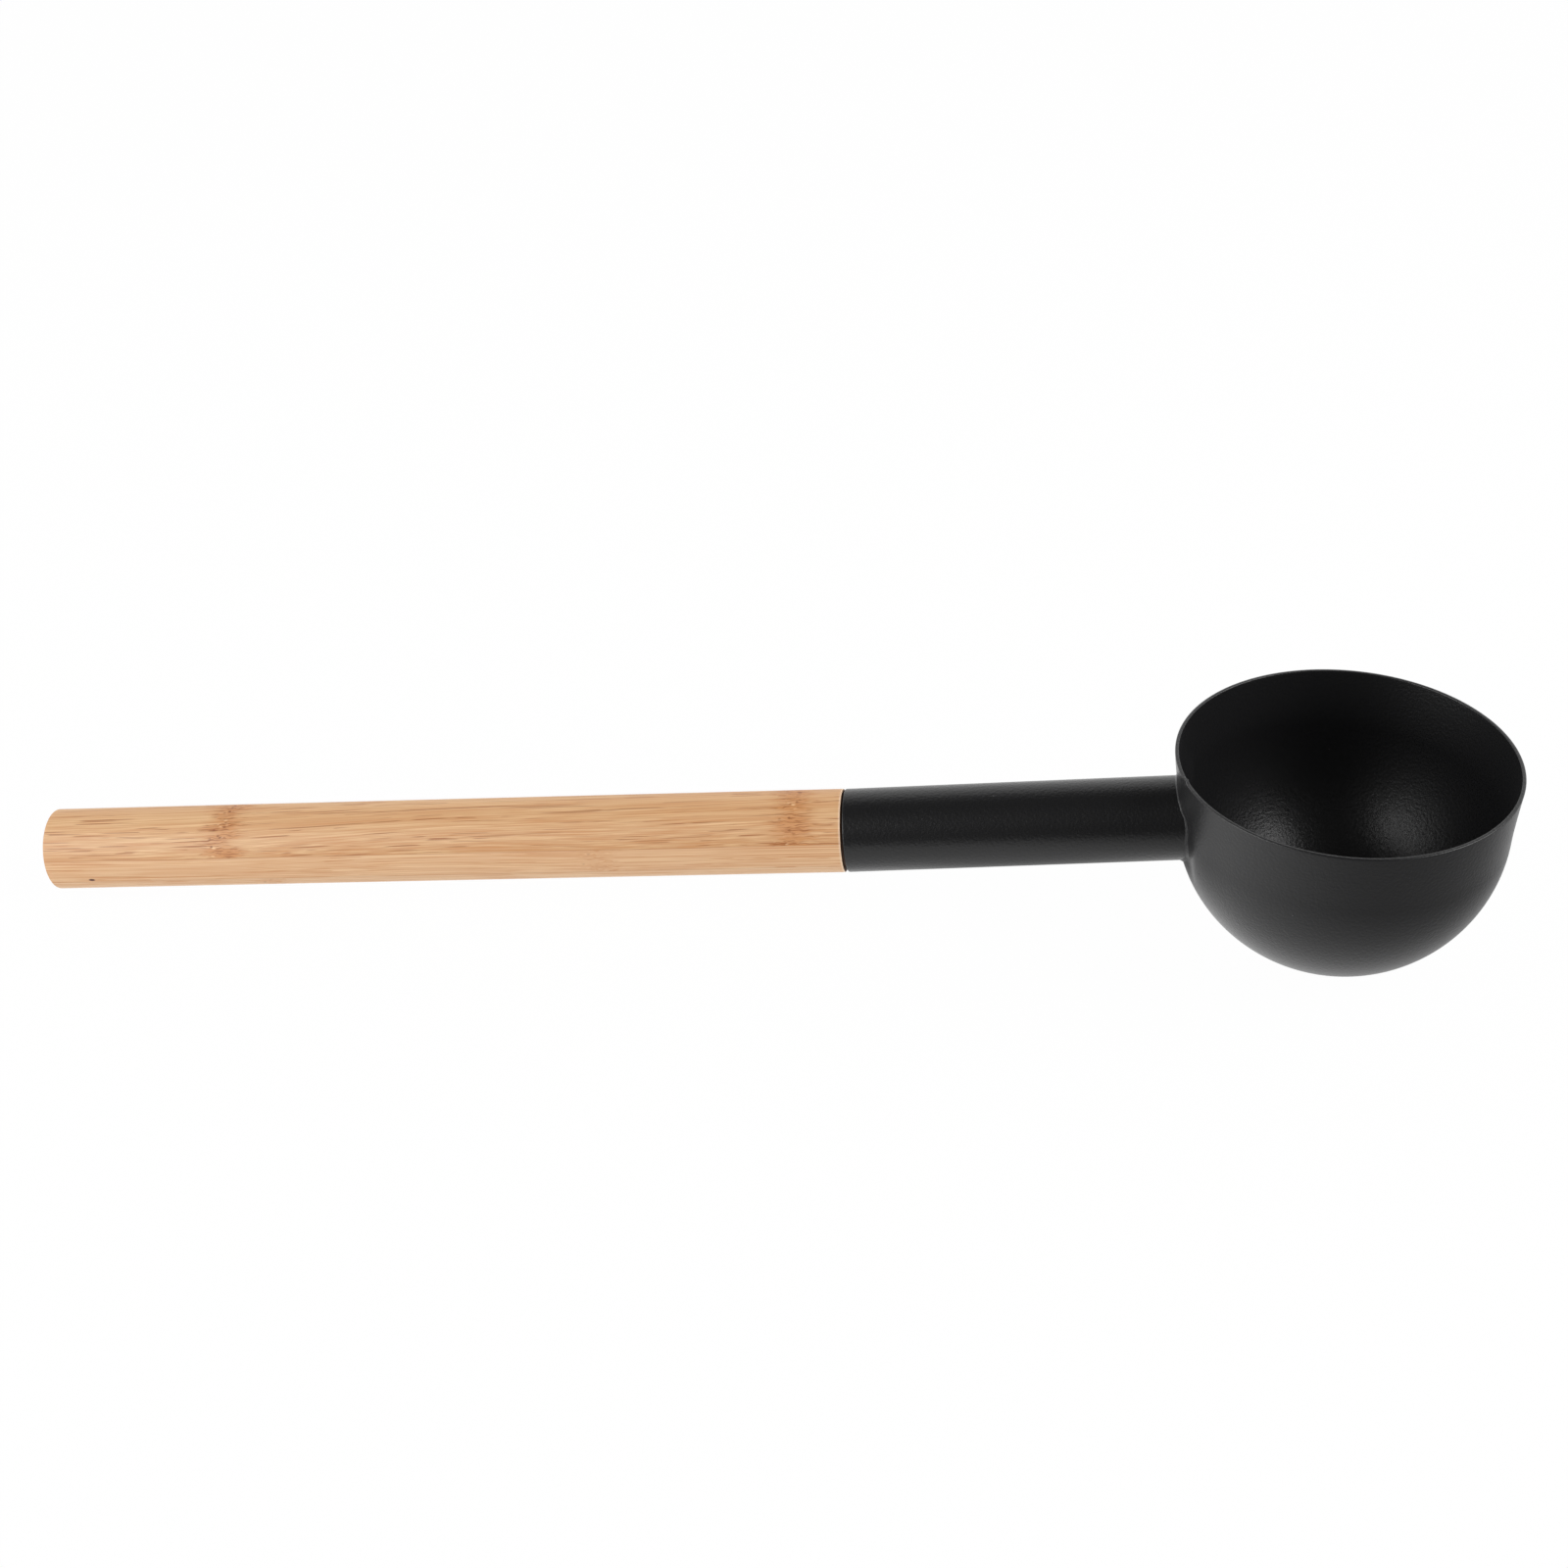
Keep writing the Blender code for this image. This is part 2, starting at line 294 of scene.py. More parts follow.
# %% Softboxes
SOFTBOX_DISTANCE = 1.2
SOFTBOXES = {
    "softbox_left": {"azimuth": -64.0, "elevation": 19.5, "size": 0.95, "power": 12.0, "gleam": 21.0},
    "softbox_right": {"azimuth": 79.0, "elevation": 30.5, "size": 0.8, "power": 12.0, "gleam": 7.0},
}
softbox_aim = Vector((0.05, 0.0, 0.03))
for name, setting in SOFTBOXES.items():
    outward = outwards(math.radians(setting["azimuth"]), math.radians(setting["elevation"]))
    for part in ("power", "gleam"):
        lamp = bpy.data.lights.new(name + "_" + part, "AREA")
        lamp.shape = "SQUARE"
        lamp.size = setting["size"]
        lamp.energy = setting[part]
        softbox = bpy.data.objects.new(lamp.name, lamp)
        bpy.context.collection.objects.link(softbox)
        softbox.location = softbox_aim + outward * SOFTBOX_DISTANCE
        softbox.rotation_euler = outward.to_track_quat("Z", "Y").to_euler()
        softbox.visible_camera = False
        softbox.visible_diffuse = part == "power"
print("softboxes:", ", ".join(SOFTBOXES))

# %% [markdown]
# ## Powder coat
# Powder coat is a polyester film about 0.08 mm thick, sprayed on dry and baked. It levels less well than wet
# paint, so it keeps an orange-peel surface: low waves about half a millimetre apart, which are drawn 0.8 mm
# apart here so that they show. In a highlight each wave is a bright grain, and elsewhere the coat looks plain
# and matt. It is a plastic film over metal, so the shader isn't metallic. Now and then a grain of dust is
# baked in, and gas from the weld leaves pinholes. The weld has the coat's plain black. The bowl's black is a
# little lighter, as painted light in the shade inside the bowl, and the tube's a little darker, as painted
# shade against the light that the tube catches.

# %% Powder coat material
# The bowl's lighter black is painted light for its shaded inside; the tube's darker black is painted shade.
BOWL_BLACK_WITH_PAINTED_LIGHT = "171718"
TUBE_BLACK_WITH_PAINTED_SHADE = "0f0f10"
WELD_BLACK = "131314"
COAT_ROUGHNESS = 0.32
COAT_IOR = 1.41
PEEL_SPACING = 0.8
PEEL_HEIGHT = 0.1 * MM
DUST_SPACING = 9.0
DUST_RADIUS = 0.22
DUST_HEIGHT = 0.5
DUST_GREY = "4a4a4a"
PINHOLE_CORE = 0.15
PINHOLE_RADIUS = 0.45
PINHOLE_DEPTH = 4.0
PINHOLES = ((114.8, -18.4, 34.5), (115.7, -20.3, 35.1))


def powder_coat(name, black, pinholes=()):
    """Matt black polyester powder coat with its orange peel, a few grains of dust, and pinholes by place."""
    material, tree, output = new_material(name)
    place = add_node(tree, "ShaderNodeTexCoord")
    millimetres = add_node(tree, "ShaderNodeMapping", {
        "Vector": place.outputs["Object"], "Scale": stretched(MM, MM),
    })
    peel = add_node(tree, "ShaderNodeTexNoise", {
        "Vector": millimetres, "Scale": 1.0 / PEEL_SPACING, "Roughness": 0.6,
    })
    dust = add_node(tree, "ShaderNodeTexVoronoi", {"Vector": millimetres, "Scale": 1.0 / DUST_SPACING})
    grain = add_node(tree, "ShaderNodeMapRange", {
        "Value": dust.outputs["Distance"], "From Max": DUST_RADIUS / DUST_SPACING,
        "To Min": 1.0, "To Max": 0.0,
    }, interpolation_type="SMOOTHSTEP")
    height = add_node(tree, "ShaderNodeMath", {
        0: grain, 1: DUST_HEIGHT, 2: peel.outputs["Fac"],
    }, operation="MULTIPLY_ADD")
    for pinhole in pinholes:
        away = add_node(tree, "ShaderNodeVectorMath", {0: millimetres, 1: pinhole}, operation="DISTANCE")
        hole = add_node(tree, "ShaderNodeMapRange", {
            "Value": away.outputs["Value"], "From Min": PINHOLE_CORE, "From Max": PINHOLE_RADIUS,
            "To Min": 1.0, "To Max": 0.0,
        }, interpolation_type="SMOOTHSTEP")
        height = add_node(tree, "ShaderNodeMath", {
            0: hole, 1: -PINHOLE_DEPTH, 2: height,
        }, operation="MULTIPLY_ADD")
    bump = add_node(tree, "ShaderNodeBump", {"Height": height, "Distance": PEEL_HEIGHT})
    tint = add_node(tree, "ShaderNodeMix", {
        0: grain, 6: linear(black), 7: linear(DUST_GREY),
    }, data_type="RGBA")
    shader = add_node(tree, "ShaderNodeBsdfPrincipled", {
        "Base Color": tint.outputs[2], "Roughness": COAT_ROUGHNESS, "IOR": COAT_IOR,
        "Normal": bump,
    })
    tree.links.new(shader.outputs[0], output.inputs["Surface"])
    return material


# The bowl's lighter black is painted light, the tube's darker black painted shade.
bowl_coat = powder_coat("powder_coat_on_bowl", BOWL_BLACK_WITH_PAINTED_LIGHT, PINHOLES)
tube_coat = powder_coat("powder_coat_on_tube", TUBE_BLACK_WITH_PAINTED_SHADE)
weld_coat = powder_coat("powder_coat_on_weld", WELD_BLACK)
print("coats:", bowl_coat.name, tube_coat.name, weld_coat.name)

# %% [markdown]
# ## Bamboo
# The handle is glued from three strips of bamboo and turned round. Bamboo has no growth rings: it is a pale
# ground with brown bundles of fibre that run along the cane. Turning cuts them at a slant, so they show as
# long dashes on the side and as dots on the end. The pattern is a solid one, worked out in millimetres along,
# across and through the strip, so side and end always agree. Noise that is stretched along the cane gives
# what runs with the fibres, and Voronoi cells give what can be counted, such as bundles and pores.
#
# Every 15 to 30 cm the cane has a node, where the fibres swerve, the colour deepens and small dark pores lie
# side by side. The first function tells how near a point is to one. A node has no sharp end, because each
# bundle darkens at a place of its own.

# %% Nodes of the cane
NODE_HALF_WIDTH = 7.5
NODE_RAGGED = 14.0
RAGGED_SCALE = (0.12, 1.4, 1.4)
PORE_BAND = 1.6
PORE_SLANT = 0.3


def near_nodes(tree, strip, axes, node_places, seed):
    """How near a point is to a node, and to the slanting ring of pores in its middle, each from 0 to 1."""
    ragged_space = add_node(tree, "ShaderNodeMapping", {
        "Vector": strip, "Location": (0.0, seed, seed), "Scale": RAGGED_SCALE,
    })
    ragged = add_node(tree, "ShaderNodeTexNoise", {"Vector": ragged_space, "Scale": 1.0, "Detail": 1.0})
    ragged_shift = add_node(tree, "ShaderNodeMapRange", {
        "Value": ragged.outputs["Fac"], "To Min": -0.5 * NODE_RAGGED, "To Max": 0.5 * NODE_RAGGED,
    })
    nearness = None
    pore_ring = None
    for node_place in node_places:
        offset = add_node(tree, "ShaderNodeMath", {0: axes.outputs["X"], 1: node_place},
                          operation="SUBTRACT")
        straight = add_node(tree, "ShaderNodeMath", {0: offset}, operation="ABSOLUTE")
        distance = add_node(tree, "ShaderNodeMath", {0: straight, 1: ragged_shift}, operation="ADD")
        near = add_node(tree, "ShaderNodeMapRange", {
            "Value": distance, "From Max": NODE_HALF_WIDTH, "To Min": 1.0, "To Max": 0.0,
        }, interpolation_type="SMOOTHSTEP")
        slanted = add_node(tree, "ShaderNodeMath", {
            0: axes.outputs["Y"], 1: -PORE_SLANT, 2: offset,
        }, operation="MULTIPLY_ADD")
        from_ring = add_node(tree, "ShaderNodeMath", {0: slanted}, operation="ABSOLUTE")
        ring = add_node(tree, "ShaderNodeMapRange", {
            "Value": from_ring, "From Min": 0.5 * PORE_BAND, "From Max": 1.5 * PORE_BAND,
            "To Min": 1.0, "To Max": 0.0,
        })
        if nearness is None:
            nearness = near
            pore_ring = ring
        else:
            nearness = add_node(tree, "ShaderNodeMath", {0: nearness, 1: near}, operation="MAXIMUM")
            pore_ring = add_node(tree, "ShaderNodeMath", {0: pore_ring, 1: ring}, operation="MAXIMUM")
    return nearness, pore_ring


print("a node is about", 2.0 * NODE_HALF_WIDTH, "mm long")

# %% [markdown]
# Fibres run almost straight, a little aslant to the handle, and swirl round the pores at a node. So the
# strip's own coordinates are shifted first, and each pattern after this reads the shifted ones.

# %% Coordinates that follow the fibres
DRIFT = 2.0
DRIFT_LENGTH = 75.0
SWIRL = 1.0
SWIRL_LENGTH = 2.4
SWIRL_WIDTH = 1.3


def fibre_space(tree, strip, axes, nearness, seed, tilt_degrees):
    """The strip's coordinates, shifted so that a line along X in them follows a fibre."""
    tilted = add_node(tree, "ShaderNodeMath", {
        0: axes.outputs["X"], 1: -math.tan(math.radians(tilt_degrees)), 2: axes.outputs["Y"],
    }, operation="MULTIPLY_ADD")
    drift = add_node(tree, "ShaderNodeTexNoise", {
        "Vector": strip, "W": seed, "Scale": 1.0 / DRIFT_LENGTH, "Detail": 0.0,
    }, noise_dimensions="4D")
    swirl_space = add_node(tree, "ShaderNodeMapping", {
        "Vector": strip, "Scale": stretched(SWIRL_LENGTH, SWIRL_WIDTH),
    })
    swirl = add_node(tree, "ShaderNodeTexNoise", {
        "Vector": swirl_space, "W": seed, "Scale": 1.0, "Detail": 0.0,
    }, noise_dimensions="4D")
    swirl_size = add_node(tree, "ShaderNodeMath", {0: nearness, 1: SWIRL}, operation="MULTIPLY")
    swirl_centred = add_node(tree, "ShaderNodeMath", {0: swirl.outputs["Fac"], 1: 0.5}, operation="SUBTRACT")
    swirl_shift = add_node(tree, "ShaderNodeMath", {0: swirl_centred, 1: swirl_size}, operation="MULTIPLY")
    wander = add_node(tree, "ShaderNodeMath", {0: drift.outputs["Fac"], 1: DRIFT, 2: swirl_shift},
                      operation="MULTIPLY_ADD")
    across = add_node(tree, "ShaderNodeMath", {0: tilted, 1: wander}, operation="ADD")
    through = add_node(tree, "ShaderNodeMath", {0: axes.outputs["Z"], 1: wander}, operation="ADD")
    fibres = add_node(tree, "ShaderNodeCombineXYZ", {"X": axes.outputs["X"], "Y": across, "Z": through})
    return fibres


print("fibres wander within", DRIFT, "mm")

# %% [markdown]
# A bundle is a long cell about half a millimetre across, with a dark core. The turned surface cuts it over a
# short length only, so a second noise opens and closes it. Some parts of the cane's wall hold more bundles
# than others, which a third, wider noise gives as patches.

# %% Bundles of fibre
BUNDLE_SPACING = 0.46
BUNDLE_LENGTH = 160.0
BUNDLE_RADIUS = 0.165
BUNDLE_LEAST = 0.6
CORE_START = 0.65
CORE_END = 1.1
GATE_LENGTH = 11.0
GATE_WIDTH = 1.1
GATE_CLOSED = 0.43
GATE_OPEN = 0.52
PATCH_WIDTH = 2.6
PATCH_LENGTH = 45.0
PATCH_THIN = 0.36
PATCH_THICK = 0.6


def bundle_streaks(tree, fibres, deepened, bundle_share, seed):
    """The patches, and how much of the bundles' colour shows at a point."""
    patch_space = add_node(tree, "ShaderNodeMapping", {
        "Vector": fibres, "Location": (seed * 2.0, seed * 13.0, seed * 4.0),
        "Scale": stretched(PATCH_LENGTH, PATCH_WIDTH),
    })
    patches = add_node(tree, "ShaderNodeTexNoise", {"Vector": patch_space, "Scale": 1.0})
    thick = add_node(tree, "ShaderNodeMapRange", {
        "Value": patches.outputs["Fac"], "From Min": PATCH_THIN, "From Max": PATCH_THICK,
        "To Min": BUNDLE_LEAST,
    })
    thicker = add_node(tree, "ShaderNodeMath", {0: thick, 1: deepened}, operation="MAXIMUM")

    # Bundles: long cells, of which only some are dark
    bundle_space = add_node(tree, "ShaderNodeMapping", {
        "Vector": fibres, "Location": (seed * 7.3, seed * 3.1, seed * 5.7),
        "Scale": stretched(BUNDLE_LENGTH, BUNDLE_SPACING),
    })
    bundles = add_node(tree, "ShaderNodeTexVoronoi", {"Vector": bundle_space, "Scale": 1.0})
    core = add_node(tree, "ShaderNodeMapRange", {
        "Value": bundles.outputs["Distance"], "From Min": CORE_START * BUNDLE_RADIUS / BUNDLE_SPACING,
        "From Max": CORE_END * BUNDLE_RADIUS / BUNDLE_SPACING, "To Min": 1.0, "To Max": 0.0,
    }, interpolation_type="SMOOTHSTEP")
    gate_space = add_node(tree, "ShaderNodeMapping", {
        "Vector": fibres, "Location": (seed * 5.0, seed * 17.0, seed * 3.0),
        "Scale": stretched(GATE_LENGTH, GATE_WIDTH),
    })
    gate = add_node(tree, "ShaderNodeTexNoise", {"Vector": gate_space, "Scale": 1.0, "Detail": 1.0})
    cut = add_node(tree, "ShaderNodeMapRange", {
        "Value": gate.outputs["Fac"], "From Min": GATE_CLOSED, "From Max": GATE_OPEN,
    }, interpolation_type="SMOOTHSTEP")
    chance = add_node(tree, "ShaderNodeSeparateColor", {0: bundles.outputs["Color"]})
    chosen = add_node(tree, "ShaderNodeMapRange", {
        "Value": chance, "From Min": 1.0 - bundle_share, "To Min": BUNDLE_LEAST,
    })
    opened = add_node(tree, "ShaderNodeMath", {0: cut, 1: deepened}, operation="MAXIMUM")
    lengths = add_node(tree, "ShaderNodeMath", {0: core, 1: opened}, operation="MULTIPLY")
    dark = add_node(tree, "ShaderNodeMath", {0: lengths, 1: chosen}, operation="MULTIPLY")
    streaks = add_node(tree, "ShaderNodeMath", {0: dark, 1: thicker}, operation="MULTIPLY")
    return patches, streaks


print("bundles lie", BUNDLE_SPACING, "mm apart")

# %% [markdown]
# A node has pores, which are small dark pits, short pale marks of soft tissue between them, and short dark
# dashes where the swerving bundles are cut across.

# %% Pores, marks and dashes
PORE_SPACING = 1.5
PORE_RADIUS = 0.42
PORE_CORE = 0.5 * PORE_RADIUS
PORE_RANDOMNESS = 0.9
PORE_STRETCH = 0.6
MARK_SPACING = 1.1
MARK_RADIUS = 0.28
MARK_CORE = 0.4 * MARK_RADIUS
MARK_STRETCH = 0.35
MARK_SHARE = 0.8
DASH_LENGTH = 3.4
DASH_WIDTH = 0.36
DASH_START = 0.52
DASH_FULL = 0.63
DASH_DEPTH = 3.0


def node_marks(tree, fibres, pore_ring, node_depth, seed):
    """How much of the pores, the pale marks and the dashes shows at a point."""
    pore_space = add_node(tree, "ShaderNodeMapping", {
        "Vector": fibres, "Location": (0.0, seed, 0.0), "Scale": (PORE_STRETCH, 1.0, 1.0),
    })
    pores = add_node(tree, "ShaderNodeTexVoronoi", {
        "Vector": pore_space, "Scale": 1.0 / PORE_SPACING, "Randomness": PORE_RANDOMNESS,
    })
    pore = add_node(tree, "ShaderNodeMapRange", {
        "Value": pores.outputs["Distance"], "From Min": PORE_CORE / PORE_SPACING,
        "From Max": PORE_RADIUS / PORE_SPACING, "To Min": 1.0, "To Max": 0.0,
    })
    mark_space = add_node(tree, "ShaderNodeMapping", {
        "Vector": fibres, "Location": (3.0, -seed, 5.0), "Scale": (MARK_STRETCH, 1.0, 1.0),
    })
    marks = add_node(tree, "ShaderNodeTexVoronoi", {"Vector": mark_space, "Scale": 1.0 / MARK_SPACING})
    mark = add_node(tree, "ShaderNodeMapRange", {
        "Value": marks.outputs["Distance"], "From Min": MARK_CORE / MARK_SPACING,
        "From Max": MARK_RADIUS / MARK_SPACING, "To Min": MARK_SHARE, "To Max": 0.0,
    })
    dash_space = add_node(tree, "ShaderNodeMapping", {
        "Vector": fibres, "Location": (seed, 0.0, 0.0),
        "Scale": stretched(DASH_LENGTH, DASH_WIDTH),
    })
    dashes = add_node(tree, "ShaderNodeTexNoise", {"Vector": dash_space, "Scale": 1.0, "Detail": 1.0})
    dash = add_node(tree, "ShaderNodeMapRange", {
        "Value": dashes.outputs["Fac"], "From Min": DASH_START, "From Max": DASH_FULL,
        "To Max": DASH_DEPTH,
    })
    pore_here = add_node(tree, "ShaderNodeMath", {0: pore_ring, 1: node_depth}, operation="MULTIPLY")
    pore_share = add_node(tree, "ShaderNodeMath", {0: pore, 1: pore_here}, operation="MULTIPLY")
    mark_share = add_node(tree, "ShaderNodeMath", {0: mark, 1: pore_here}, operation="MULTIPLY")
    return pore_share, mark_share, dash


print("pores lie", PORE_SPACING, "mm apart")

# %% [markdown]
# The glue line between two plies shows as a thin brown line. A pale band on the shoulder's edge is a painted
# highlight, where the small round catches the light, and behind it the tenon is dark brown, as painted shade
# in the gap between shoulder and tube. End grain drinks more light than the side, because the cut fibres
# are open there.

# %% Glue lines and ends
GLUE_HALF_WIDTH = 0.11
GLUE_SHARE = 0.5
# A pale band on the shoulder's edge, drawn as a painted highlight where the small round catches the light.
EDGE_START = 0.6
EDGE_FULL = 0.3
EDGE_SHARE = 0.4
# The tenon behind the shoulder is painted dark brown: painted shade in the gap between shoulder and tube.
GAP_SHADE_START = 0.06
GAP_SHADE_FULL = 0.02
END_GRAIN_FULL = 0.1
END_GRAIN_END = 0.35
END_GRAIN_SHARE = 0.55
PLIES = 3
SHOULDER_GAP = 0.2 * MM
PLY_THICKNESS = 2.0 * HANDLE_RADIUS / PLIES / MM
GRIP_LENGTH = HANDLE_LENGTH - SHOULDER_GAP
GRIP_END = GRIP_LENGTH / MM


def glue_and_ends(tree, axes):
    """How much of the glue, the edge's painted highlight, the tenon's painted shade and the end grain shows.
    """
    height = add_node(tree, "ShaderNodeMath", {0: axes.outputs["Z"]}, operation="ABSOLUTE")
    from_glue = add_node(tree, "ShaderNodeMath", {0: height, 1: 0.5 * PLY_THICKNESS}, operation="SUBTRACT")
    glue_gap = add_node(tree, "ShaderNodeMath", {0: from_glue}, operation="ABSOLUTE")
    glue = add_node(tree, "ShaderNodeMapRange", {
        "Value": glue_gap, "From Max": GLUE_HALF_WIDTH, "To Min": GLUE_SHARE, "To Max": 0.0,
    })
    # Painted highlight on the shoulder's edge.
    edge_highlight = add_node(tree, "ShaderNodeMapRange", {
        "Value": axes.outputs["X"], "From Min": GRIP_END - EDGE_START, "From Max": GRIP_END - EDGE_FULL,
        "To Max": EDGE_SHARE,
    })
    # Painted shade on the tenon behind the shoulder.
    gap_shade = add_node(tree, "ShaderNodeMapRange", {
        "Value": axes.outputs["X"], "From Min": GRIP_END - GAP_SHADE_START, "From Max": GRIP_END - GAP_SHADE_FULL,
    })
    end_grain = add_node(tree, "ShaderNodeMapRange", {
        "Value": axes.outputs["X"], "From Min": END_GRAIN_FULL, "From Max": END_GRAIN_END,
        "To Min": END_GRAIN_SHARE, "To Max": 0.0,
    })
    return glue, edge_highlight, gap_shade, end_grain


print("each ply is", round(PLY_THICKNESS, 2), "mm thick")

# %% [markdown]
# The finish itself is a stack of colours, from the pale ground up, each mixed over the last by its share.
# The strips differ: the top one shows the dense outer wall of the cane and is the darkest beside the glue
# line, the other two show the paler inner wall. The top one's ground and tone are also darkened a little, as
# painted shade against the stronger light on the handle's top, and the bottom one is paler partly as a
# painted reflection of the white table along the handle's lower edge. Sanding leaves the fibres a little
# proud of the ground. One dark dot near the handle's end is a pore that the turning cut across.

# %% Bamboo material
FIBRE_WIDTH = 0.36
FIBRE_LENGTH = 80.0
FIBRE_RELIEF = 0.02 * MM
RELIEF_STRENGTH = 0.5
PORE_DEPTH = 1.5
NODE_FIBRES = 0.16
OUTER_SIDE = 0.36
OUTER_SIDE_REACH = 6.5
FINE_START = 0.45
FINE_FULL = 0.7
FINE_SHARE = 0.75
PALE_FULL = 0.3
PALE_END = 0.46
PALE_SHARE = 0.5
TONE_SHARE = 0.8
DOT_STRETCH = 0.55
DOT_CORE = 0.34
DOT_RADIUS = 0.6
WOOD_ROUGHNESS = 0.55
WOOD_GLOSS = 0.4
OUTER_BROWN = "b47c4a"
FINE_BROWN = "c4844c"
FINE_PALE = "f4d2a2"
NODE_BROWN = "c07c34"
DASH_BROWN = "8e4c1c"
CUT_GRAIN = "a8763f"
SOFT_PALE = "ecca9a"
PORE_BROWN = "703000"
GLUE_BROWN = "98552a"
# A painted highlight on the shoulder's edge.
PAINTED_EDGE_HIGHLIGHT = "fae8d0"
# Painted shade on the tenon, in the gap between shoulder and tube.
PAINTED_GAP_SHADE = "5e3a1e"
DOT_BROWN = "4a1c00"


def bamboo(name, ground, tone, bundle, bundle_share, node_places, node_share, node_depth, seed,
           tilt_degrees=0.0, dot=None):
    """Sanded natural bamboo strip. node_places are distances from the handle's end in millimetres."""
    material, tree, output = new_material(name)
    place = add_node(tree, "ShaderNodeTexCoord")
    strip = add_node(tree, "ShaderNodeMapping", {
        "Vector": place.outputs["Object"],
        "Location": handle_end,
        "Rotation": (PLY_LEAN, -HANDLE_SLOPE, 0.0),
        "Scale": (MM, MM, MM),
    }, vector_type="TEXTURE")
    axes = add_node(tree, "ShaderNodeSeparateXYZ", {0: strip})
    nearness, pore_ring = near_nodes(tree, strip, axes, node_places, seed)
    deepened = add_node(tree, "ShaderNodeMath", {0: nearness, 1: node_depth}, operation="MULTIPLY")
    fibres = fibre_space(tree, strip, axes, nearness, seed, tilt_degrees)
    patches, streaks = bundle_streaks(tree, fibres, deepened, bundle_share, seed)
    pore_share, mark_share, dash = node_marks(tree, fibres, pore_ring, node_depth, seed)
    glue, edge_highlight, gap_shade, end_grain = glue_and_ends(tree, axes)

    # Fine fibres between the bundles, brown and pale
    fine_space = add_node(tree, "ShaderNodeMapping", {
        "Vector": fibres, "Location": (seed * 11.0, seed * 2.0, seed),
        "Scale": stretched(FIBRE_LENGTH, FIBRE_WIDTH),
    })
    fine = add_node(tree, "ShaderNodeTexNoise", {
        "Vector": fine_space, "Scale": 1.0, "Detail": 3.0, "Roughness": 0.6,
    })
    fine_here = add_node(tree, "ShaderNodeMath", {
        0: deepened, 1: NODE_FIBRES, 2: fine.outputs["Fac"],
    }, operation="MULTIPLY_ADD")
    fine_share = add_node(tree, "ShaderNodeMapRange", {
        "Value": fine_here, "From Min": FINE_START, "From Max": FINE_FULL, "To Max": FINE_SHARE,
    })
    pale_share = add_node(tree, "ShaderNodeMapRange", {
        "Value": fine_here, "From Min": PALE_FULL, "From Max": PALE_END,
        "To Min": PALE_SHARE, "To Max": 0.0,
    })
    tone_share = add_node(tree, "ShaderNodeMath", {0: patches.outputs["Fac"], 1: TONE_SHARE},
                          operation="MULTIPLY")
    node_tint = add_node(tree, "ShaderNodeMath", {0: nearness, 1: node_share}, operation="MULTIPLY")
    dash_share = add_node(tree, "ShaderNodeMath", {0: dash, 1: node_tint}, operation="MULTIPLY")
    outer_side = add_node(tree, "ShaderNodeMapRange", {
        "Value": axes.outputs["Z"], "From Min": 0.5 * PLY_THICKNESS,
        "From Max": 0.5 * PLY_THICKNESS + OUTER_SIDE_REACH, "To Min": OUTER_SIDE, "To Max": 0.0,
    })
    layers = [
        (tone_share, tone),
        (outer_side, OUTER_BROWN),
        (fine_share, FINE_BROWN),
        (pale_share, FINE_PALE),
        (node_tint, NODE_BROWN),
        (streaks, bundle),
        (dash_share, DASH_BROWN),
        (end_grain, CUT_GRAIN),
        (mark_share, SOFT_PALE),
        (pore_share, PORE_BROWN),
        (glue, GLUE_BROWN),
        # A painted highlight on the shoulder's edge.
        (edge_highlight, PAINTED_EDGE_HIGHLIGHT),
        # Painted shade on the tenon, in the gap.
        (gap_shade, PAINTED_GAP_SHADE),
    ]
    if dot is not None:
        to_dot = add_node(tree, "ShaderNodeVectorMath", {0: strip, 1: dot}, operation="SUBTRACT")
        squeezed = add_node(tree, "ShaderNodeVectorMath", {0: to_dot, 1: (DOT_STRETCH, 1.0, 1.0)},
                            operation="MULTIPLY")
        dot_distance = add_node(tree, "ShaderNodeVectorMath", {0: squeezed}, operation="LENGTH")
        dot_share = add_node(tree, "ShaderNodeMapRange", {
            "Value": dot_distance.outputs["Value"], "From Min": DOT_CORE, "From Max": DOT_RADIUS,
            "To Min": 1.0, "To Max": 0.0,
        })
        layers.append((dot_share, DOT_BROWN))
    colour = linear(ground)
    for share, over in layers:
        colour = add_node(tree, "ShaderNodeMix", {0: share, 6: colour, 7: linear(over)},
                          data_type="RGBA").outputs[2]

    # The relief that sanding leaves
    relief = add_node(tree, "ShaderNodeMath", {
        0: pore_share, 1: -PORE_DEPTH, 2: fine.outputs["Fac"],
    }, operation="MULTIPLY_ADD")
    bump = add_node(tree, "ShaderNodeBump", {
        "Height": relief, "Strength": RELIEF_STRENGTH, "Distance": FIBRE_RELIEF,
    })
    shader = add_node(tree, "ShaderNodeBsdfPrincipled", {
        "Base Color": colour, "Roughness": WOOD_ROUGHNESS, "Specular IOR Level": WOOD_GLOSS,
        "Normal": bump,
    })
    tree.links.new(shader.outputs[0], output.inputs["Surface"])
    return material


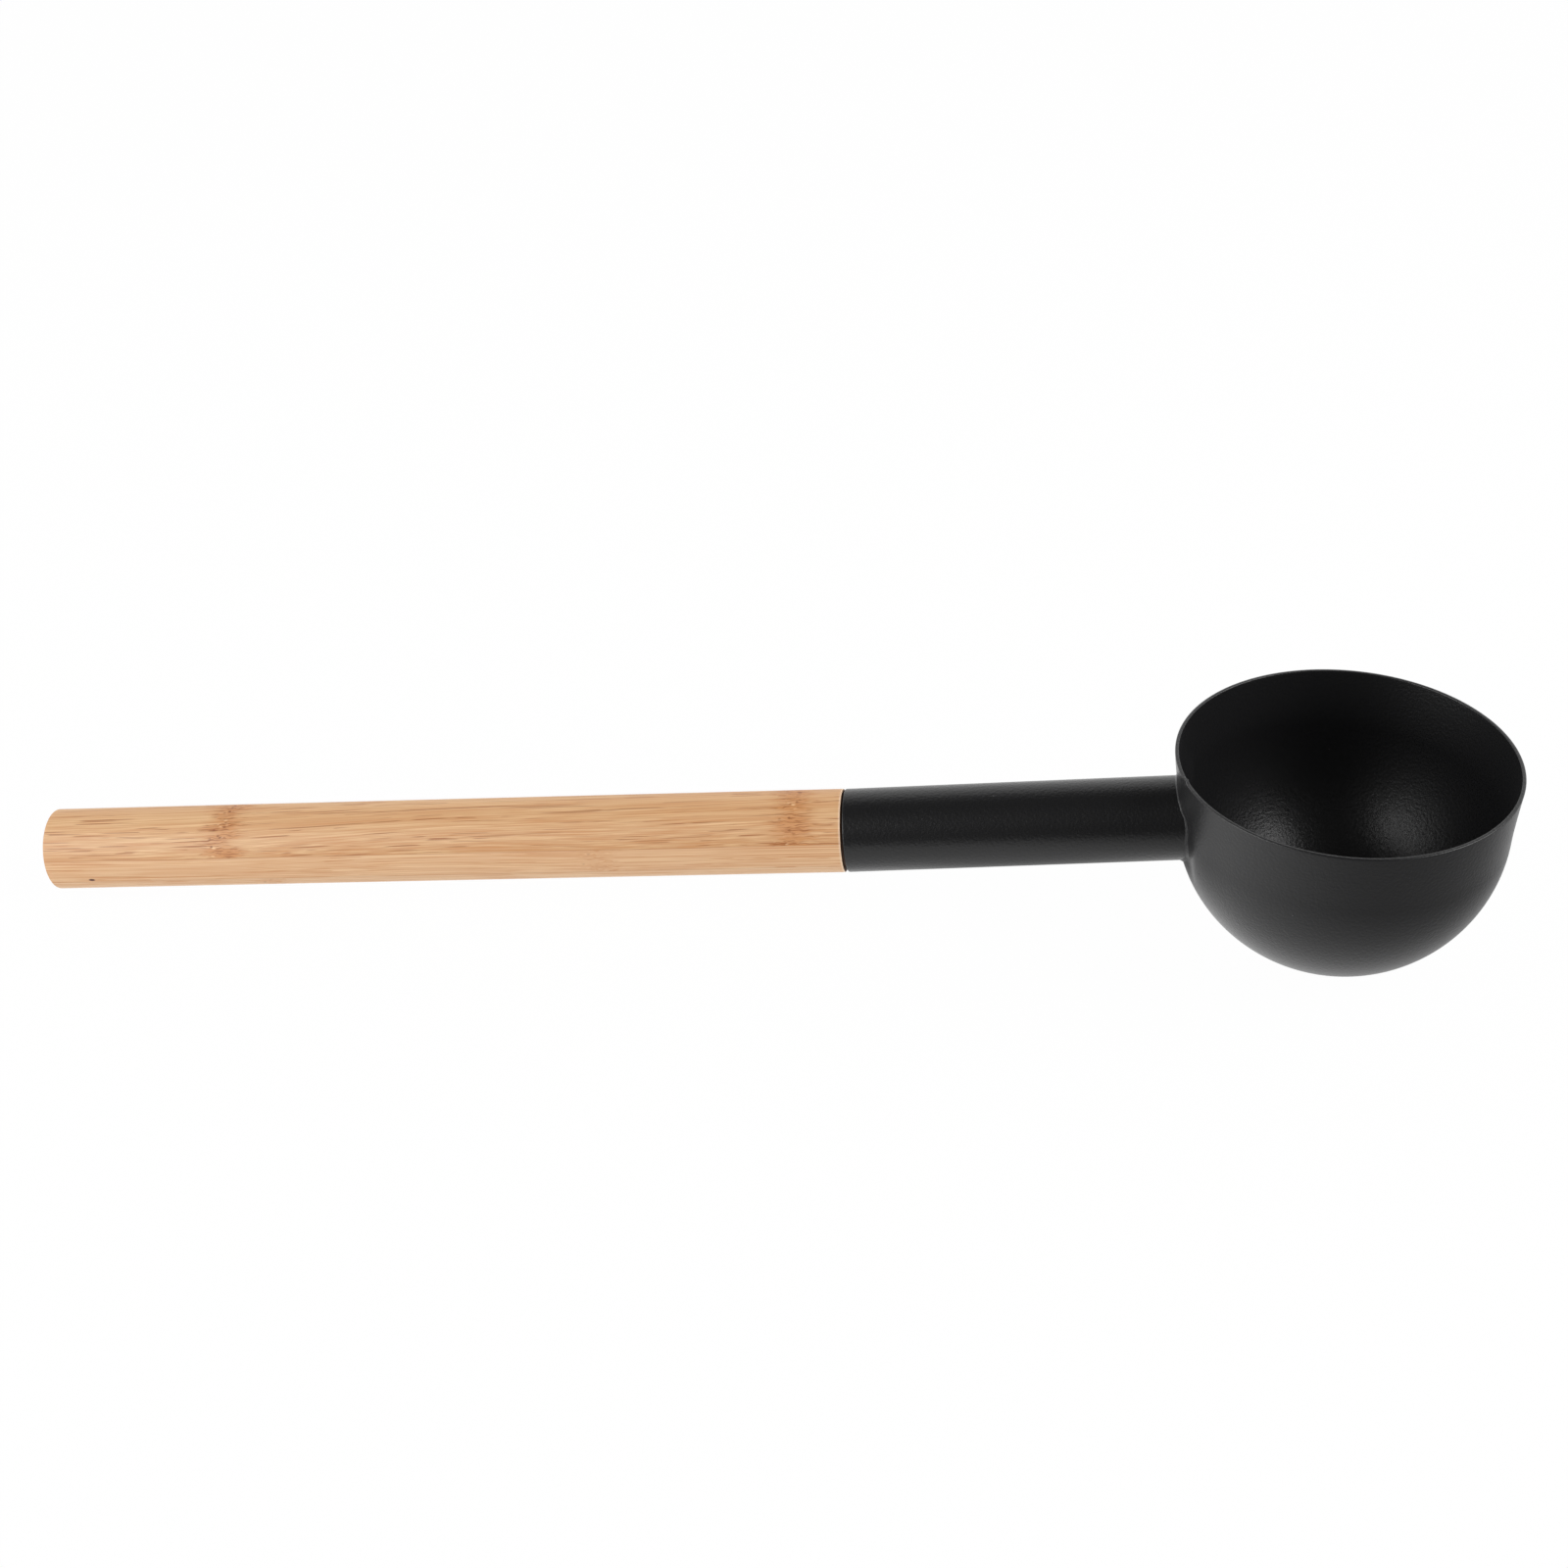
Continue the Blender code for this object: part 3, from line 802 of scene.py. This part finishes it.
DOT_PLACE = (12.2, -10.67, -2.65)
PLY_FINISHES = {
    # The top strip's ground and tone are darkened a little as painted shade, against the stronger light on
    # top.
    "handle_ply_top": {"ground": "cb9868", "tone": "e1bd90", "bundle": "96501c", "bundle_share": 0.9,
                       "node_places": (51.9, 207.5), "node_share": 0.2, "node_depth": 1.0, "seed": 1.0,
                       "tilt_degrees": 1.6},
    "handle_ply_middle": {"ground": "e5bd96", "tone": "eecea5", "bundle": "b9773e", "bundle_share": 0.5,
                          "node_places": (155.2,), "node_share": 0.03, "node_depth": 0.25, "seed": 2.0,
                          "dot": DOT_PLACE},
    # The bottom strip's paler ground is partly its own colour, partly a painted reflection of the white
    # table.
    "handle_ply_bottom": {"ground": "e8c69f", "tone": "eed1ac", "bundle": "b9773e", "bundle_share": 0.5,
                          "node_places": (64.4,), "node_share": 0.05, "node_depth": 0.4, "seed": 3.0},
}
print("plies:", ", ".join(PLY_FINISHES))

# %% [markdown]
# ## Helpers for modelling
# Every piece starts as a primitive at its place in the frame. Its transform is applied at once, so the mesh
# is in the frame's own coordinates. Edges and faces are then picked in code by where they are.

# %% Modelling helpers
NEAR = 0.01 * MM
SHARP_DEGREES = 30.0


def begin(name):
    """Name the primitive or copy just made, and put its place into its mesh."""
    piece = bpy.context.active_object
    piece.name = name
    piece.data.name = name
    bpy.ops.object.transform_apply(location=True, rotation=True, scale=True)
    return piece


def select_by_place(piece, kind, test):
    """In edit mode, select the edges or faces whose middle passes the test, and nothing else."""
    bpy.ops.mesh.select_mode(type=kind)
    bpy.ops.mesh.select_all(action="DESELECT")
    mesh = bmesh.from_edit_mesh(piece.data)
    count = 0
    for item in {"EDGE": mesh.edges, "FACE": mesh.faces}[kind]:
        middle = sum((vertex.co for vertex in item.verts), Vector()) / len(item.verts)
        if test(middle):
            item.select_set(True)
            count += 1
    mesh.select_flush_mode()
    bmesh.update_edit_mesh(piece.data)
    return count


def select_only(piece):
    """Select this piece and nothing else, and make it the active one."""
    bpy.ops.object.select_all(action="DESELECT")
    piece.select_set(True)
    bpy.context.view_layer.objects.active = piece


def apply_modifier(piece, kind, **settings):
    """Add a modifier with its settings and apply it."""
    bpy.context.view_layer.objects.active = piece
    modifier = piece.modifiers.new(kind.lower(), kind)
    for name, value in settings.items():
        setattr(modifier, name, value)
    bpy.ops.object.modifier_apply(modifier=modifier.name)


def face_outwards():
    """Turn all faces of the piece in edit mode outwards, and leave edit mode."""
    bpy.ops.mesh.select_all(action="SELECT")
    bpy.ops.mesh.normals_make_consistent(inside=False)
    bpy.ops.object.mode_set(mode="OBJECT")


def dress(piece, material, node, sharp_degrees=SHARP_DEGREES):
    """Smooth a finished piece, give it its finish, and let it stand for its solid."""
    select_only(piece)
    bpy.ops.object.shade_smooth_by_angle(angle=math.radians(sharp_degrees))
    apply_modifier(piece, "WEIGHTED_NORMAL", mode="FACE_AREA", weight=100, keep_sharp=True)
    piece.data.materials.clear()
    piece.data.materials.append(material)
    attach(piece, BODY)
    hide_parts(node)
    print(piece.name, len(piece.data.polygons), "faces")


print("places count as the same within", NEAR / MM, "mm")

# %% [markdown]
# ## The bowl
# The real bowl is pressed or spun from a disc of sheet metal about 1 mm thick: a half sphere that runs on
# into a short band, flared a little at the rim so that it pours well. Here a sphere gives the dome, its open
# edge is extruded upwards ring by ring for the band, and Solidify gives the wall. The rim's two edges get a
# small round, as a tumbled or brushed edge has under its coat.

# %% Press the bowl
BOWL_SEGMENTS = 288
BOWL_RINGS = 160
BAND_STEPS = 12
BAND_CURVE = 1.4
BOWL_WALL = 1.0 * MM
RIM_ROUND = 0.32 * MM
RIM_ROUND_STEPS = 4
RIM_CORNER = math.radians(60.0)


def half_sphere(name, radius, segments, rings):
    """The lower half of a sphere round the dome's centre, in edit mode, with its open edge selected."""
    bpy.ops.object.select_all(action="DESELECT")
    bpy.ops.mesh.primitive_uv_sphere_add(segments=segments, ring_count=rings, radius=radius,
                                         location=dome_centre)
    piece = begin(name)
    bpy.ops.object.mode_set(mode="EDIT")
    select_by_place(piece, "FACE", lambda middle: middle.z > DOME_RADIUS)
    bpy.ops.mesh.delete(type="FACE")
    select_by_place(piece, "EDGE", lambda middle: abs(middle.z - DOME_RADIUS) < NEAR)
    return piece


def raise_edge(rise, grow, top):
    """Extrude the selected edge upwards and widen it, for one ring of the band."""
    bpy.ops.mesh.extrude_region_move(TRANSFORM_OT_translate={"value": (0.0, 0.0, rise)})
    bpy.ops.transform.resize(value=(grow, grow, 1.0), center_override=(dome_centre.x, 0.0, top))


bowl = half_sphere("bowl_shell", DOME_RADIUS, BOWL_SEGMENTS, BOWL_RINGS)
radius = DOME_RADIUS
rise = BAND_HEIGHT / BAND_STEPS
for step in range(1, BAND_STEPS + 1):
    next_radius = DOME_RADIUS + RIM_FLARE * (step / BAND_STEPS) ** BAND_CURVE
    raise_edge(rise, next_radius / radius, DOME_RADIUS + rise * step)
    radius = next_radius
face_outwards()
apply_modifier(bowl, "SOLIDIFY", thickness=BOWL_WALL, offset=-1.0, use_even_offset=True)
bpy.ops.object.mode_set(mode="EDIT")
rim_edges = select_by_place(bowl, "EDGE", lambda middle: middle.z > RIM_HEIGHT - NEAR)
print("edges at the rim:", rim_edges)
bpy.ops.object.mode_set(mode="OBJECT")
apply_modifier(bowl, "BEVEL", width=RIM_ROUND, segments=RIM_ROUND_STEPS, limit_method="ANGLE",
               angle_limit=RIM_CORNER)

# %% [markdown]
# A weld shrinks as it cools, so the wall is drawn in a little beside the tube, most of all at its sides and
# below it, and the rim has a small lump near it. Each pair below is an angle round the tube in degrees from
# straight up and a depth in millimetres. The same pull shapes the cut in the tube and the line of the weld.

# %% Draw the wall in beside the weld
PULL_DEPTHS = (
    (0.0, 0.3), (30.0, 0.35), (42.0, 0.6), (63.0, 1.45), (75.0, 1.6),
    (90.0, 1.3), (105.0, 1.4), (120.0, 1.5), (146.0, 0.1), (180.0, 0.0),
)
PULL_IN_MIDDLE = 0.9 * MM
PULL_MIDDLE_REACH = 9.5 * MM
PULL_FULL_REACH = TUBE_RADIUS + 1.0 * MM
PULL_NEAR_REACH = 19.0 * MM
PULL_WIDE_REACH = 29.0 * MM
PULL_WIDE_SHARE = 0.3
RIM_LUMP_ANGLE = math.radians(197.5)
RIM_LUMP_REACH = 1.5 * MM
RIM_LUMP_HEIGHT = 0.6 * MM
RIM_LUMP_RISE = 0.6

neck_up = Vector((0.0, 1.0, 0.0)).cross(neck_direction)


def smooth_share(value, start, end):
    """0 at start, 1 at end, with a smooth rise between them."""
    share = min(max((value - start) / (end - start), 0.0), 1.0)
    return share * share * (3.0 - 2.0 * share)


def from_list(pairs, degrees):
    """The millimetres that a list of (degrees, millimetres) pairs gives at an angle, with smooth steps."""
    for (start, first), (end, last) in zip(pairs, pairs[1:]):
        if start <= degrees <= end:
            return (first + (last - first) * smooth_share(degrees, start, end)) * MM
    return pairs[0][1] * MM


def weld_pull(point):
    """How far the weld drew the wall in along the neck, at a point given from the dome's centre."""
    along = point.dot(neck_direction)
    off_axis = point - neck_direction * along
    distance = off_axis.length
    if along < 0.0 or distance > PULL_WIDE_REACH:
        return 0.0
    from_up = math.degrees(math.atan2(abs(off_axis.y), off_axis.dot(neck_up)))
    near_tube = smooth_share(distance, 0.0, PULL_MIDDLE_REACH)
    depth = PULL_IN_MIDDLE + (from_list(PULL_DEPTHS, from_up) - PULL_IN_MIDDLE) * near_tube
    near = smooth_share(distance, PULL_NEAR_REACH, PULL_FULL_REACH)
    wide = smooth_share(distance, PULL_WIDE_REACH, PULL_FULL_REACH)
    return depth * (near + (wide - near) * PULL_WIDE_SHARE)


def pull_in(piece):
    """Draw a round wall in beside the tube, as the weld did."""
    for vertex in piece.data.vertices:
        vertex.co -= neck_direction * weld_pull(vertex.co - dome_centre)


pull_in(bowl)
rim_lump = rim_centre + Vector((math.cos(RIM_LUMP_ANGLE), math.sin(RIM_LUMP_ANGLE), 0.0)) * RIM_RADIUS
for vertex in bowl.data.vertices:
    closeness = smooth_share((vertex.co - rim_lump).length, RIM_LUMP_REACH, 0.0)
    inwards = (dome_centre - vertex.co) * Vector((1.0, 1.0, 0.0))
    vertex.co += (inwards.normalized() + Vector((0.0, 0.0, RIM_LUMP_RISE))) * RIM_LUMP_HEIGHT * closeness
dress(bowl, bowl_coat, "bowl")

# %% [markdown]
# ## The neck tube
# A 22 mm tube is sawn square at one end and coped at the other, which means cut to the curve of the bowl so
# that it fits tight all round. A Boolean difference with the outer form of the bowl does what the hole saw
# does. The tube starts as an open cylinder; Solidify gives it its wall before the cut.

# %% Model the neck tube
TUBE_SEGMENTS = 128
TUBE_MOUTH_ROUND = 0.4 * MM
TUBE_ROUND_STEPS = 3
TUBE_REACH_IN = 12.0 * MM
TUBE_REACH_OUT = 0.4 * MM
FORMER_SHRINK = 0.5 * MM
FORMER_SEGMENTS = 144
FORMER_RINGS = 80

tube_length = TUBE_REACH_OUT + NECK_LENGTH + TUBE_REACH_IN
tube_middle = mouth_centre + neck_direction * (TUBE_REACH_OUT - 0.5 * tube_length)
bpy.ops.object.select_all(action="DESELECT")
bpy.ops.mesh.primitive_cylinder_add(vertices=TUBE_SEGMENTS, radius=TUBE_RADIUS, depth=tube_length,
                                    end_fill_type="NOTHING", location=tube_middle, rotation=neck_turn)
tube = begin("neck_tube_shell")
apply_modifier(tube, "SOLIDIFY", thickness=WALL, offset=-1.0, use_even_offset=True)
bpy.ops.object.mode_set(mode="EDIT")
mouth_reach = (mouth_centre - dome_centre).length + TUBE_REACH_OUT
select_by_place(tube, "EDGE",
                lambda middle: (middle - dome_centre).dot(neck_direction) > mouth_reach - NEAR)
bpy.ops.mesh.bevel(offset=TUBE_MOUTH_ROUND, segments=TUBE_ROUND_STEPS)
bpy.ops.object.mode_set(mode="OBJECT")

former_radius = DOME_RADIUS - FORMER_SHRINK
former = half_sphere("bowl_former", former_radius, FORMER_SEGMENTS, FORMER_RINGS)
raise_edge(BAND_HEIGHT, (RIM_RADIUS - FORMER_SHRINK) / former_radius, RIM_HEIGHT)
bpy.ops.mesh.edge_face_add()
face_outwards()
pull_in(former)
apply_modifier(tube, "BOOLEAN", operation="DIFFERENCE", object=former, solver="EXACT")
bpy.data.objects.remove(former, do_unlink=True)
dress(tube, tube_coat, "neck_tube")

# %% [markdown]
# ## The weld
# The tube is welded all round. The bead fills the corner between tube and bowl, and its line is a saddle:
# the tube's round path laid on the bowl's wall. It starts as a torus round the tube. Each of its points is
# then moved to its place on the bead's section, a slightly hollow slope from the tube to the wall. The place
# on the wall is found by halving the distance along the neck until the point stands right. The bead is
# thicker and thinner as the torch was moved: each pair below is an angle round the tube in degrees from
# straight up and a size in millimetres, on the wall and on the tube.

# %% Model the weld bead
WELD_POINTS = 288
WELD_SECTION_POINTS = 20
WELD_HOLLOW = 2.2
WELD_HIDDEN = 0.3 * MM
WELD_RIPPLES = 54
WELD_RIPPLE_SHARE = 0.03
WELD_SHARP_DEGREES = 60.0
WELD_START_RADIUS = 1.0 * MM
SEARCH_REACH = DOME_RADIUS + 10.0 * MM
SEARCH_HALVINGS = 22
WELD_ON_WALL = (
    (0.0, 0.4), (25.0, 0.6), (60.0, 0.6), (75.0, 1.1), (110.0, 0.8), (150.0, 1.0), (190.0, 0.5),
    (222.0, 0.5), (240.0, 0.95), (284.0, 1.0), (296.0, 0.6), (306.0, 0.35), (345.0, 0.32), (360.0, 0.4),
)
WELD_ON_TUBE = (
    (0.0, 0.4), (25.0, 0.5), (60.0, 0.5), (75.0, 0.8), (110.0, 0.7), (150.0, 0.9), (190.0, 0.7),
    (222.0, 0.65), (240.0, 0.55), (284.0, 0.5), (296.0, 0.4), (306.0, 0.3), (345.0, 0.3), (360.0, 0.4),
)


def distance_outside_bowl(point):
    """How far a point, given from the dome's centre, stands outside the bowl's wall."""
    before = point + neck_direction * weld_pull(point)
    if before.z < 0.0:
        return before.length - DOME_RADIUS
    flare = RIM_FLARE * (before.z / BAND_HEIGHT) ** BAND_CURVE
    return math.hypot(before.x, before.y) - DOME_RADIUS - flare


def saddle_point(from_axis, turn, stand_off):
    """The point this far from the neck's axis, turned from straight up, that stands off the bowl so far."""
    sideways = (neck_up * math.cos(turn) + Vector((0.0, 1.0, 0.0)) * math.sin(turn)) * from_axis
    near = 0.0
    far = SEARCH_REACH
    for _ in range(SEARCH_HALVINGS):
        middle = 0.5 * (near + far)
        if distance_outside_bowl(sideways + neck_direction * middle) < stand_off:
            near = middle
        else:
            far = middle
    return dome_centre + sideways + neck_direction * near


def section_reach(share, size):
    """One coordinate of the bead's section: the slope in the corner, or the small hidden part behind it."""
    reach = abs(share) ** WELD_HOLLOW
    return reach * size if share > 0.0 else -reach * WELD_HIDDEN


weld_height = DOME_RADIUS
bpy.ops.object.select_all(action="DESELECT")
bpy.ops.mesh.primitive_torus_add(major_radius=TUBE_RADIUS, minor_radius=WELD_START_RADIUS,
                                 major_segments=WELD_POINTS, minor_segments=WELD_SECTION_POINTS,
                                 location=dome_centre + neck_direction * weld_height, rotation=neck_turn)
weld = begin("weld_bead")
for vertex in weld.data.vertices:
    from_centre = vertex.co - dome_centre
    along = from_centre.dot(neck_direction)
    off_axis = from_centre - neck_direction * along
    turn = math.atan2(off_axis.y, off_axis.dot(neck_up)) % (2.0 * math.pi)
    lean = math.atan2(along - weld_height, off_axis.length - TUBE_RADIUS)
    ripple = 1.0 + WELD_RIPPLE_SHARE * math.cos(WELD_RIPPLES * turn)
    on_wall = section_reach(math.cos(lean), ripple * from_list(WELD_ON_WALL, math.degrees(turn)))
    on_tube = section_reach(math.sin(lean), ripple * from_list(WELD_ON_TUBE, math.degrees(turn)))
    vertex.co = saddle_point(TUBE_RADIUS + on_wall, turn, on_tube)
bpy.ops.object.mode_set(mode="EDIT")
face_outwards()
dress(weld, weld_coat, "neck_weld", WELD_SHARP_DEGREES)

# %% [markdown]
# ## The handle
# The three plies are glued, then the blank is turned round as one, with a shoulder and a tenon that is glued
# into the tube. So one turned blank is modelled, and three copies of it are cut along the glue lines. The
# plies lean 4 degrees about the handle's axis, because nobody lined them up when the tenon was glued in.

# %% Model the handle
HANDLE_SEGMENTS = 128
END_ROUND = 0.4 * MM
END_ROUND_STEPS = 6
SHOULDER_ROUND = 0.2 * MM
SHOULDER_ROUND_STEPS = 2
TENON_RADIUS = 9.4 * MM
TENON_TIP_RADIUS = 8.8 * MM
TENON_LENGTH = 30.0 * MM
GLUE_LINE = 0.02 * MM
RIM_TOLERANCE = 0.05 * MM

shoulder_centre = handle_end - handle_direction * GRIP_LENGTH
blank_middle = handle_end - handle_direction * (0.5 * GRIP_LENGTH)
ply_normal = Euler((PLY_LEAN, -HANDLE_SLOPE, 0.0)).to_matrix() @ Vector((0.0, 0.0, 1.0))


def turned_blank(name):
    """The whole handle: grip, rounded end, shoulder and tapered tenon."""
    bpy.ops.object.select_all(action="DESELECT")
    bpy.ops.mesh.primitive_cylinder_add(vertices=HANDLE_SEGMENTS, radius=HANDLE_RADIUS, depth=GRIP_LENGTH,
                                        end_fill_type="NGON", location=blank_middle, rotation=handle_turn)
    piece = begin(name)
    bpy.ops.object.mode_set(mode="EDIT")
    select_by_place(piece, "FACE", lambda middle: (middle - shoulder_centre).length < NEAR)
    bpy.ops.mesh.inset(thickness=HANDLE_RADIUS - TENON_RADIUS, depth=0.0)
    tenon = -handle_direction * (TENON_LENGTH + JOINT_GAP)
    bpy.ops.mesh.extrude_region_move(TRANSFORM_OT_translate={"value": tenon})
    shrink = TENON_TIP_RADIUS / TENON_RADIUS
    bpy.ops.transform.resize(value=(shrink, shrink, shrink), center_override=shoulder_centre + tenon)

    def on_rim(middle, centre, rim_radius):
        from_centre = middle - centre
        flat = abs(from_centre.dot(handle_direction)) < NEAR
        return flat and abs(from_centre.length - rim_radius) < RIM_TOLERANCE

    select_by_place(piece, "EDGE", lambda middle: on_rim(middle, handle_end, HANDLE_RADIUS))
    bpy.ops.mesh.bevel(offset=END_ROUND, segments=END_ROUND_STEPS)
    select_by_place(piece, "EDGE", lambda middle: on_rim(middle, shoulder_centre, HANDLE_RADIUS))
    bpy.ops.mesh.bevel(offset=SHOULDER_ROUND, segments=SHOULDER_ROUND_STEPS)
    bpy.ops.object.mode_set(mode="OBJECT")
    return piece


def saw(height, **side):
    """Cut the piece in edit mode along a glue line, drop one side and close the cut."""
    bpy.ops.mesh.select_all(action="SELECT")
    bpy.ops.mesh.bisect(plane_co=handle_end + ply_normal * height, plane_no=ply_normal, use_fill=True, **side)


blank = turned_blank("handle_blank")
ply_top = HANDLE_RADIUS
for node, finish in PLY_FINISHES.items():
    ply_bottom = ply_top - PLY_THICKNESS * MM
    select_only(blank)
    bpy.ops.object.duplicate()
    ply = begin(node.replace("handle_", "") + "_bamboo")
    bpy.ops.object.mode_set(mode="EDIT")
    if ply_top < HANDLE_RADIUS - NEAR:
        saw(ply_top - 0.5 * GLUE_LINE, clear_outer=True)
    if ply_bottom > -HANDLE_RADIUS + NEAR:
        saw(ply_bottom + 0.5 * GLUE_LINE, clear_inner=True)
    bpy.ops.object.mode_set(mode="OBJECT")
    strip_name = node.replace("handle_ply", "bamboo")
    dress(ply, bamboo("sanded_" + strip_name, **finish), node)
    ply_top = ply_bottom
bpy.data.objects.remove(blank, do_unlink=True)
